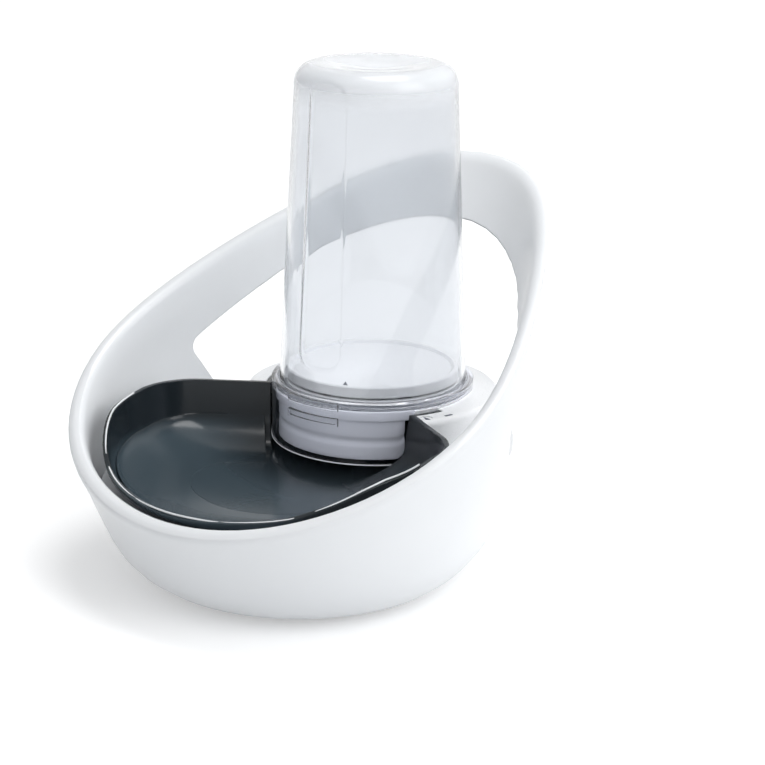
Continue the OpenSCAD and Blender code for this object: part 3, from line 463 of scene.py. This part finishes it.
def rowPiece(name, rows, joined, body, material):  # joined: the last row meets the first one
    bm = bmesh.new()
    grid = [[bm.verts.new(spot) for spot in row] for row in rows]
    count = len(grid[0])
    pairs = list(zip(grid, grid[1:]))
    if joined:
        pairs.append((grid[-1], grid[0]))
    for a, b in pairs:
        for k in range(count):
            m = (k + 1) % count
            bm.faces.new((a[k], b[k], b[m], a[m]))
    if not joined:
        bm.faces.new(grid[0])
        bm.faces.new(grid[-1][::-1])
    bmesh.ops.remove_doubles(bm, verts=bm.verts, dist=smoothing["weld"])
    bmesh.ops.recalc_face_normals(bm, faces=bm.faces)
    mesh = bpy.data.meshes.new(name)
    bm.to_mesh(mesh)
    bm.free()
    piece = addPiece(name, mesh, material)
    splitEdges(piece)
    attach(piece, body)
    return piece


def turnedPiece(name, section, degrees, joined, material, shape=None):
    rows = []
    for deg in degrees:
        points = [shape(k, r, z, deg) for k, (r, z) in enumerate(section)] if shape else section
        rows.append([spotOn(r, deg, z) for r, z in points])
    return rowPiece(name, rows, joined, "bottle", material)


def tubePiece(name, path, radius, body, material):
    sides = 8
    up = Vector((0, 0, 1))
    spots = [Vector(spot) for spot in path]
    rows = []
    for k, here in enumerate(spots):
        way = (spots[min(k + 1, len(spots) - 1)] - spots[max(k - 1, 0)]).normalized()
        side = way.cross(up)
        side = side.normalized() if side.length > 0.1 else up.cross(here).normalized()
        top = side.cross(way)
        rows.append([here + radius * (math.cos(a) * side + math.sin(a) * top)
                     for a in spaced(0, 2 * math.pi / sides, sides)])
    return rowPiece(name, rows, False, body, material)


def softened(corners, radii, steps=3):  # a closed outline with a rounding at each corner
    path = []
    for k, (corner, radius) in enumerate(zip(corners, radii)):
        here = Vector(corner)
        before = (Vector(corners[k - 1]) - here).normalized()
        after = (Vector(corners[(k + 1) % len(corners)]) - here).normalized()
        half = before.angle(after) / 2
        reach = radius / math.tan(half)
        centre = here + (before + after).normalized() * (radius / math.sin(half))
        start, end = here + before * reach - centre, here + after * reach - centre
        turn = math.atan2(start.x * end.y - start.y * end.x, start.dot(end))
        for t in spaced(0, turn / steps, steps + 1):
            path.append((centre.x + start.x * math.cos(t) - start.y * math.sin(t),
                         centre.y + start.x * math.sin(t) + start.y * math.cos(t)))
    return path


def liftedCorner(arc, radius):  # how far a rounded corner lifts a lower edge
    if arc >= radius:
        return 0.0
    return radius - math.sqrt(max(0.0, radius ** 2 - (radius - max(0.0, arc)) ** 2))


columnSteps = {"beyondDeg": 0.15, "fineCount": 12, "coarseDeg": 3.0}


def columnsTo(edgeDeg, fine):  # close together near both ends, wide apart between
    s = columnSteps
    side = [edgeDeg + s["beyondDeg"], *spaced(edgeDeg, -fine, s["fineCount"] + 1)]
    start = side[-1]
    count = max(2, int(2 * start / s["coarseDeg"]))
    middle = [start - 2 * start * k / count for k in range(1, count)]
    return side + middle + [-d for d in side[::-1]]


# the clear bottle with its pressed panel

bottleShape = {
    "footZ": 0.0820, "footR": 0.0469,
    "beadR": 0.0480, "beadH": 0.0014, "beadRound": 0.0003, "beadStep": 0.0002,
    "shoulderZ": 0.2330, "shoulderR": 0.0397, "shoulderRound": 0.0095, "shoulderSteps": 14,
    "wall": 0.0020, "crownDish": 0.0030, "crownSteps": 12,
    "rows": [0.0834, 0.086, 0.090, 0.094] + spaced(0.096, 0.001, 18)
            + spaced(0.114, 0.005, 23) + [0.2265, 0.228, 0.2295, 0.231],
    "degrees": spaced(-22.8, 0.6, 77) + spaced(24, 4, 78),
    "panelHalf": 0.0121, "panelLow": 0.0985, "panelHigh": 0.2385, "panelDome": 0.0050,
    "panelCorner": 0.0090, "panelTopCorner": 0.0040, "panelR": 0.0425,
    "panelDepth": 0.0007, "panelEdge": 0.0018, "panelInside": 0.9,
}


def softStep(value, low, high):
    t = min(1.0, max(0.0, (value - low) / (high - low)))
    return t * t * (3 - 2 * t)


def bottleWallR(z):
    b = bottleShape
    climb = (z - b["footZ"]) / (b["shoulderZ"] - b["footZ"])
    return b["footR"] + (b["shoulderR"] - b["footR"]) * climb


def panelDent(z, deg):
    b = bottleShape
    across = abs(math.radians(deg if deg <= 180 else deg - 360) * b["panelR"])
    high = b["panelHigh"] - b["panelDome"] * min(1.2, (across / b["panelHalf"]) ** 2)
    middle, tall = (high + b["panelLow"]) / 2, (high - b["panelLow"]) / 2
    corner = b["panelCorner"] if z < middle else b["panelTopCorner"]
    dx, dz = across - b["panelHalf"] + corner, abs(z - middle) - tall + corner
    outside = math.hypot(max(dx, 0), max(dz, 0)) + min(max(dx, dz), 0) - corner
    return b["panelDepth"] * (1 - softStep(outside, -b["panelEdge"], 0))


def bottleSection():
    b = bottleShape
    foot, bead, small = b["footZ"], b["beadR"], b["beadRound"]
    beadTop = foot + b["beadH"]
    low = bottleWallR(foot)
    topR = b["shoulderR"] - b["shoulderRound"]
    crown = b["shoulderZ"] + b["shoulderRound"]
    arc = [math.radians(90 * k / b["shoulderSteps"]) for k in range(b["shoulderSteps"] + 1)]
    dish = [k / b["crownSteps"] for k in range(b["crownSteps"])]

    def shoulder(radius):
        return [(topR + radius * math.cos(a), b["shoulderZ"] + radius * math.sin(a))
                for a in arc]

    def crownRow(top):
        return [(topR * t, top - b["crownDish"] * (0.5 + 0.5 * math.cos(math.pi * t)))
                for t in dish]

    outer = [(bead - small, foot), (bead, foot + small), (bead, beadTop - small),
             (bead - small, beadTop), (low + b["beadStep"], beadTop)]
    outer += [(bottleWallR(z), z) for z in b["rows"] if z > beadTop + small]
    outer += shoulder(b["shoulderRound"]) + crownRow(crown)[::-1]
    inner = crownRow(crown - b["wall"]) + shoulder(b["shoulderRound"] - b["wall"])[::-1]
    inner += [(bottleWallR(z) - b["wall"], z) for z in b["rows"][::-1]]
    return outer, inner + [(low - b["wall"], foot)]


def buildBottle():
    outer, inner = bottleSection()

    def pressPanel(k, r, z, deg):
        share = 1.0 if k < len(outer) else bottleShape["panelInside"]
        return r - share * panelDent(z, deg), z

    bottle = turnedPiece("clear_bottle", outer + inner, bottleShape["degrees"], True,
                         mats["clearBottle"], pressPanel)
    bottle.visible_shadow = False
    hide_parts("water_bottle")


buildBottle()
print("stage: bottle")


# the clear collar and the white cap under it

collarShape = {
    "outR": 0.0505, "boreR": 0.0472, "beadBoreR": 0.0484,
    "low": 0.0820, "high": 0.0860, "step": 0.0837, "round": 0.0004, "hair": 0.0001,
    "skirtR": 0.0487, "skirtLow": 0.0553, "skirtDeg": 60.3, "skirtLean": 0.044,
    "cornerR": 0.0060, "fineDeg": 0.5, "ringDeg": 3, "hairDeg": 0.01,
    "skirtRows": (0.072, 0.069, 0.066, 0.063), "skirtInRows": (0.066, 0.074, 0.0817),
    "tabDeg": 17.0, "tabColumns": (0.1, -0.1, -1.05, -1.25),  # degrees beyond a tab's side
    "tabProud": 0.0013, "tabFrame": 0.0010, "tabFace": 0.45,
    "tabs": ((0.0742, 0.0782), (0.0818, 0.0857)),
}
capShape = {
    "ringR": 0.0484, "ringLow": 0.0770, "ringHigh": 0.0820,
    "plugR": 0.0433, "plugInR": 0.0409, "plugHigh": 0.0858,
    "ringRounds": (0.0002, 0.0002, 0.0004, 0.0002, 0.0004, 0.0005),
    "floorR": 0.0439, "floorLow": 0.0755, "floorHigh": 0.0780,
    "spoutR": 0.0100, "spoutLow": 0.0575, "boreR": 0.0080,
    "floorRounds": (0.0003, 0.0003, 0.0003, 0.0008, 0.0004, 0.0004),
    "postInR": 0.0367, "postOutR": 0.0387, "postLow": 0.0776, "postHigh": 0.0890,
    "postCount": 6, "postDegrees": spaced(5, 5, 11),
    "apronR": 0.0470, "apronInR": 0.0450, "apronLow": 0.0570, "apronTop": 0.0776,
    "apronDeg": 55.3, "cornerR": 0.0050, "fineDeg": 0.6,
    "apronRows": ((0.0740, 0.0710), (0.0615, 0.0595)), "apronInRow": 0.066,
    "apronFoot": ((0, 0.0008), (0.0003, 0.0002), (0.0010, 0)),  # inward and up
    "grooveZ": 0.0662, "grooveHalf": 0.0030, "grooveDepth": 0.0011, "grooveSteps": 5,
}


def buildCollar():
    c = collarShape
    frameWide, hair, small = c["tabFrame"], c["hair"], c["round"]
    tall = c["low"] - c["skirtLow"]
    outRows = [c["high"] - 2 * hair]
    for low, high in c["tabs"][::-1]:
        outRows += [high + hair, high - hair, high - frameWide, high - frameWide - 2 * hair,
                    low + frameWide + 2 * hair, low + frameWide, low + hair, low - hair]
    bore = [(c["beadBoreR"], c["low"]), (c["beadBoreR"], c["step"]), (c["boreR"], c["step"]),
            (c["boreR"], c["high"] - small), (c["boreR"] + small, c["high"]),
            (c["outR"] - small, c["high"])]
    section = bore + [(c["outR"], z) for z in (*outRows, *c["skirtRows"], c["skirtLow"] + small)]
    section += [(c["outR"] - small, c["skirtLow"]), (c["skirtR"] + 3 * hair, c["skirtLow"]),
                (c["skirtR"], c["skirtLow"] + 3 * hair)]
    section += [(c["skirtR"], z) for z in c["skirtInRows"]]

    def shapeCollar(k, r, z, deg):
        side = abs(deg if deg <= 180 else deg - 360)
        if k < len(bore) or z > c["low"] and r < c["outR"] - hair:
            return r, z
        share = max(0.0, (c["low"] - z) / tall)
        reach = c["skirtDeg"] * (1 - c["skirtLean"] * share)
        if z < c["low"]:
            if side > c["skirtDeg"] + c["hairDeg"]:  # behind the skirt only the ring goes on
                z = c["low"] - 0.5 * hair - 2 * hair * share
            else:
                lift = liftedCorner(math.radians(reach - side) * c["outR"], c["cornerR"])
                z = c["low"] - share * (tall - lift)
        if r > c["outR"] - hair and side < c["tabDeg"]:
            rim = (c["tabDeg"] - side) * math.radians(c["outR"]) < frameWide
            for low, high in c["tabs"]:
                if low <= z <= high:
                    rim = rim or z < low + frameWide + hair or z > high - frameWide - hair
                    r += c["tabProud"] * (1.0 if rim else c["tabFace"])
        return r, z

    front = columnsTo(c["skirtDeg"], c["fineDeg"])
    front += [side * (c["tabDeg"] + d) for side in (-1, 1) for d in c["tabColumns"]]
    degrees = sorted(set(round(d, 3) for d in front))
    step = c["ringDeg"]
    degrees += spaced(c["skirtDeg"] + step, step, int((360 - 2 * c["skirtDeg"] - step) / step))
    collar = turnedPiece("clear_ring", section, degrees, True, mats["clearCollar"], shapeCollar)
    collar.visible_shadow = False
    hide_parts("bottle_collar")


def apronShape():
    c = capShape
    foot, steps = c["apronFoot"], c["grooveSteps"]
    above, below = c["apronRows"]
    groove = [c["grooveZ"] + c["grooveHalf"] * (1 - k / steps) for k in range(2 * steps + 1)]
    outer = [(c["apronR"], z) for z in (c["apronTop"], *above, *groove, *below)]
    outer += [(c["apronR"] - inward, c["apronLow"] + up) for inward, up in foot]
    inRows = (c["apronLow"] + foot[1][1], c["apronInRow"], c["apronTop"])
    inner = [(c["apronInR"], z) for z in inRows]
    tall = c["apronTop"] - c["apronLow"]

    def shape(k, r, z, deg):
        dip = abs(z - c["grooveZ"]) / c["grooveHalf"]
        if k < len(outer) and dip < 1:
            r -= c["grooveDepth"] * (0.5 + 0.5 * math.cos(math.pi * dip))
        lift = liftedCorner(math.radians(c["apronDeg"] - abs(deg)) * c["apronR"], c["cornerR"])
        return r, c["apronTop"] - (c["apronTop"] - z) * (tall - lift) / tall

    return outer + inner, shape


def buildCap():
    c = capShape
    full = spaced(0, 4, 90)
    ring = softened([(c["plugInR"], c["ringLow"]), (c["plugInR"], c["plugHigh"]),
                     (c["plugR"], c["plugHigh"]), (c["plugR"], c["ringHigh"]),
                     (c["ringR"], c["ringHigh"]), (c["ringR"], c["ringLow"])], c["ringRounds"])
    disc = softened([(c["boreR"], c["floorHigh"]), (c["floorR"], c["floorHigh"]),
                     (c["floorR"], c["floorLow"]), (c["spoutR"], c["floorLow"]),
                     (c["spoutR"], c["spoutLow"]), (c["boreR"], c["spoutLow"])], c["floorRounds"])
    post = [(c["postInR"], c["postLow"]), (c["postOutR"], c["postLow"]),
            (c["postOutR"], c["postHigh"]), (c["postInR"], c["postHigh"])]
    white = mats["capWhite"]
    pieces = [turnedPiece("cap_ring", ring, full, True, white),
              turnedPiece("cap_floor", disc, full, True, white)]
    for k in range(c["postCount"]):
        degrees = [360 / c["postCount"] * k + deg for deg in c["postDegrees"]]
        pieces.append(turnedPiece("cap_post_%d" % k, post, degrees, False, white))
    apron, shapeApron = apronShape()
    columns = columnsTo(c["apronDeg"], c["fineDeg"])[1:-1]
    pieces.append(turnedPiece("cap_apron", apron, columns[::-1], False, white, shapeApron))
    for piece in pieces:
        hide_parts("bottle_cap")


buildCollar()
buildCap()
print("stage: collar and cap")


# the inside of the drinking tray, and thin pale tubes as painted highlights on the tray's lip and
# the skirt's edge

trayShape = {
    "halfWidth": 0.0876, "reach": 0.0769, "middle": 0.0825, "full": 1.83,
    "cornerR": 0.030, "veeDeg": 58.7, "endOrbit": 0.0540,
    "frontSteps": 32, "cornerSteps": 14, "veeStep": 0.003,
    "floorZ": 0.04955, "lean": 0.0042, "lipHigh": 0.0805, "lipLow": 0.0570, "depth": 0.033,
    "bend": 0.0147, "thickness": 0.0020, "nose": 0.1549,
}
bowlShape = {
    "pathInset": 0.0065,
    "sunk": 0.0002,  # into the tray's wall
    "innerShare": 0.52,  # of the way from the middle to the wall, where it meets the floor
    "edgeTop": (-0.0006, 0.0026),  # inward and up, from the crease
    "edgeBend": (0.0001, 0.0),
    "edgeReach": 0.0040,
    "edgeSteps": 6,
    "slopeSteps": 12,
    "thickness": 0.0012,
    "belowFloor": 0.0010,
}
# ahead of the axis, and the height of the wall's crease
creaseLine = [(0.033, 0.0623), (0.069, 0.0602), (0.087, 0.0584), (0.108, 0.0560),
              (0.133, 0.0532), (0.156, 0.0515)]
# share of the way to the nose, and of the lip's height
lipFall = [(0.476, 1), (0.609, 0.885), (0.666, 0.838), (0.723, 0.71), (0.78, 0.532),
           (0.837, 0.349), (0.875, 0.22), (0.913, 0.15), (0.951, 0.09), (1, 0)]
# the pale tube along the lip, a painted highlight of its rounded edge
lipHighlight = {
    "radius": 0.00045, "start": 0.080, "inset": 0.0016, "up": 0.0006,
    "noseUp": 0.0060, "noseShare": 0.93,
}
# the pale tube along the skirt's lower edge and end, a painted highlight
skirtHighlight = {
    "radius": 0.00036, "sunk": 0.0001, "up": 0.0002, "inDeg": 0.3, "steps": 60,
    "riseHeights": (0.026, 0.022, 0.018, 0.014, 0.010, 0.008),
}


def along(line, x):
    if x <= line[0][0]:
        return line[0][1]
    for (x0, y0), (x1, y1) in zip(line, line[1:]):
        if x <= x1:
            return y0 + (y1 - y0) * (x - x0) / (x1 - x0)
    return line[-1][1]


def wallInset(z):
    t = trayShape
    drop = max(0.0, t["lipHigh"] - z)
    bendTop = t["lipHigh"] - t["depth"] + t["bend"]
    low = max(0.0, bendTop - z) / t["bend"]
    return t["lean"] * drop / t["depth"] + t["bend"] * (1 - math.sqrt(max(0.0, 1 - low * low)))


def trayPath(inset, withVee):  # from one end round the front to the other
    t = trayShape
    a, b = t["halfWidth"] - inset, t["reach"] - inset
    half = [(0.0, axisY - t["middle"] - b)]
    for k in range(1, t["frontSteps"] + 1):
        turn = math.radians(90 - 90 * k / t["frontSteps"])
        half.append((a * math.cos(turn) ** (2 / t["full"]),
                     axisY - t["middle"] - b * math.sin(turn) ** (2 / t["full"])))
    vee = math.radians(t["veeDeg"])
    cx = t["halfWidth"] - t["cornerR"]
    cy = axisY - (t["cornerR"] + cx * math.cos(vee)) / math.sin(vee)
    radius = t["cornerR"] - inset
    half += [(cx + radius * math.cos(turn), cy + radius * math.sin(turn))
             for turn in spaced(0, vee / t["cornerSteps"], t["cornerSteps"] + 1)]
    if withVee:
        x, y = half[-1]
        length = math.hypot(x, y - axisY) - t["endOrbit"]
        steps = max(2, int(length / t["veeStep"]))
        half += [(x - math.sin(vee) * go, y + math.cos(vee) * go)
                 for go in spaced(length / steps, length / steps, steps)]
    return [(-x, y) for x, y in half[:0:-1]] + half


def bowlProfile(crease, length):
    s, reach, floorZ = bowlShape, bowlShape["edgeReach"], trayShape["floorZ"]
    (topIn, topUp), (bendIn, bendUp) = s["edgeTop"], s["edgeBend"]

    def slope(d):
        return floorZ + (crease - floorZ) * (1 - d / length) ** 2

    points = []
    for k in range(s["edgeSteps"] + 1):
        u = k / s["edgeSteps"]
        a, b, c = (1 - u) ** 2, 2 * u * (1 - u), u * u
        points.append((a * topIn + b * bendIn + c * reach,
                       a * (crease + topUp) + b * (crease + bendUp) + c * slope(reach)))
    for k in range(1, s["slopeSteps"] + 1):
        d = reach + (length - reach) * k / s["slopeSteps"]
        points.append((d, slope(d)))
    return points


def buildBowl():
    s, t = bowlShape, trayShape
    middle = Vector((0, axisY - t["middle"]))
    underFloor = t["floorZ"] - s["belowFloor"]
    rows = []
    for x, y in trayPath(s["pathInset"], True):
        crease = along(creaseLine, axisY - y)
        inset = t["thickness"] + wallInset(crease - t["thickness"])
        start = Vector((x, y))
        start += (start - middle).normalized() * (s["pathInset"] - inset + s["sunk"])
        way = (middle - start) * (1 - s["innerShare"])
        inward = way.normalized()
        upper = [(*(start + inward * d), z) for d, z in bowlProfile(crease, way.length)]
        lower = [(px, py, min(z, max(underFloor, z - s["thickness"]))) for px, py, z in upper]
        rows.append(upper + lower[::-1])
    bowl = rowPiece("tray_bowl", rows, False, "housing", mats["traySlate"])


# paints a highlight on the tray's lip with a thin pale tube
def buildLipHighlight():
    s, t = lipHighlight, trayShape
    middle = Vector((0, axisY - t["middle"]))
    path = []
    for x, y in trayPath(0.0, False):
        ahead = axisY - y
        if ahead < s["start"]:
            continue
        share = ahead / t["nose"]
        z = t["lipLow"] + (t["lipHigh"] - t["lipLow"]) * min(1.0, along(lipFall, share))
        here = Vector((x, y))
        here -= (here - middle).normalized() * (wallInset(z) + s["inset"])
        path.append((*here, z + s["up"] + s["noseUp"] * max(0.0, share - s["noseShare"])))
    edge = tubePiece("lip_painted_highlight", path, s["radius"], "housing", mats["lipPaintedHighlight"])


# paints a highlight on the collar skirt's edge with a thin pale tube
def buildSkirtHighlight():
    s, c = skirtHighlight, collarShape
    reach = c["skirtDeg"] - s["inDeg"]
    tall = c["low"] - c["skirtLow"]

    def spotAt(deg, lift, up):
        lean = 1 - c["skirtLean"] * (1 - lift / tall)
        return spotOn(c["outR"] - s["sunk"], deg * lean, c["skirtLow"] + lift + up)

    path = [spotAt(reach, height, 0) for height in s["riseHeights"]]
    for k in range(2 * s["steps"] + 1):
        deg = reach * (1 - k / s["steps"])
        lift = liftedCorner(math.radians(reach - abs(deg)) * c["outR"], c["cornerR"])
        path.append(spotAt(deg, lift, s["up"]))
    edge = tubePiece("skirt_painted_highlight", path, s["radius"], "bottle", mats["skirtPaintedHighlight"])


buildBowl()
buildLipHighlight()
buildSkirtHighlight()
print("stage: inside of the tray")


# the marks on the drum and the lid

marks = {
    "thickness": 0.00012,
    "open_mark": {"deg": 62.5, "orbit": 0.058, "z": 0.0800, "size": (0.0028, 0.0062)},
    "shut_mark": {"deg": 73.5, "orbit": 0.060, "z": 0.0805, "size": (0.0044, 0.0014)},
    "lid_mark": {"deg": 14.5, "orbit": 0.036, "z": 0.0912, "size": (0.0030, 0.0075),
                 "turnDeg": 35},
}


def arrowOutline(wide, tall):
    return [(-0.5 * wide, -0.45 * tall), (0.5 * wide, -0.45 * tall), (0, 0.55 * tall)]


def barOutline(wide, tall):
    x, y = wide / 2, tall / 2
    return [(-x, -y), (x, -y), (x, y), (-x, y)]


def buildMark(name, outline, layers, body):
    s = marks[name]
    spot = Vector(spotOn(s["orbit"], s["deg"], s["z"]))
    turn = Matrix.Rotation(math.radians(s.get("turnDeg", s["deg"])), 4, "Z")
    low = [turn @ Vector((x, y, 0)) + spot for x, y in outline(*s["size"])]
    high = [v + Vector((0, 0, layers * marks["thickness"])) for v in low]
    n = len(low)
    faces = [tuple(range(n, 2 * n)), tuple(range(n))[::-1]]
    faces += [(k, (k + 1) % n, (k + 1) % n + n, k + n) for k in range(n)]
    mesh = bpy.data.meshes.new(name)
    mesh.from_pydata(low + high, [], faces)
    piece = addPiece(name, mesh, mats["markGrey"])
    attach(piece, body)


buildMark("open_mark", arrowOutline, 1, "housing")
buildMark("shut_mark", barOutline, 1, "housing")
buildMark("lid_mark", arrowOutline, 2, "bottle")
print("stage: marks")


bpy.context.scene.view_settings.view_transform = "Standard"
print("stage: done")
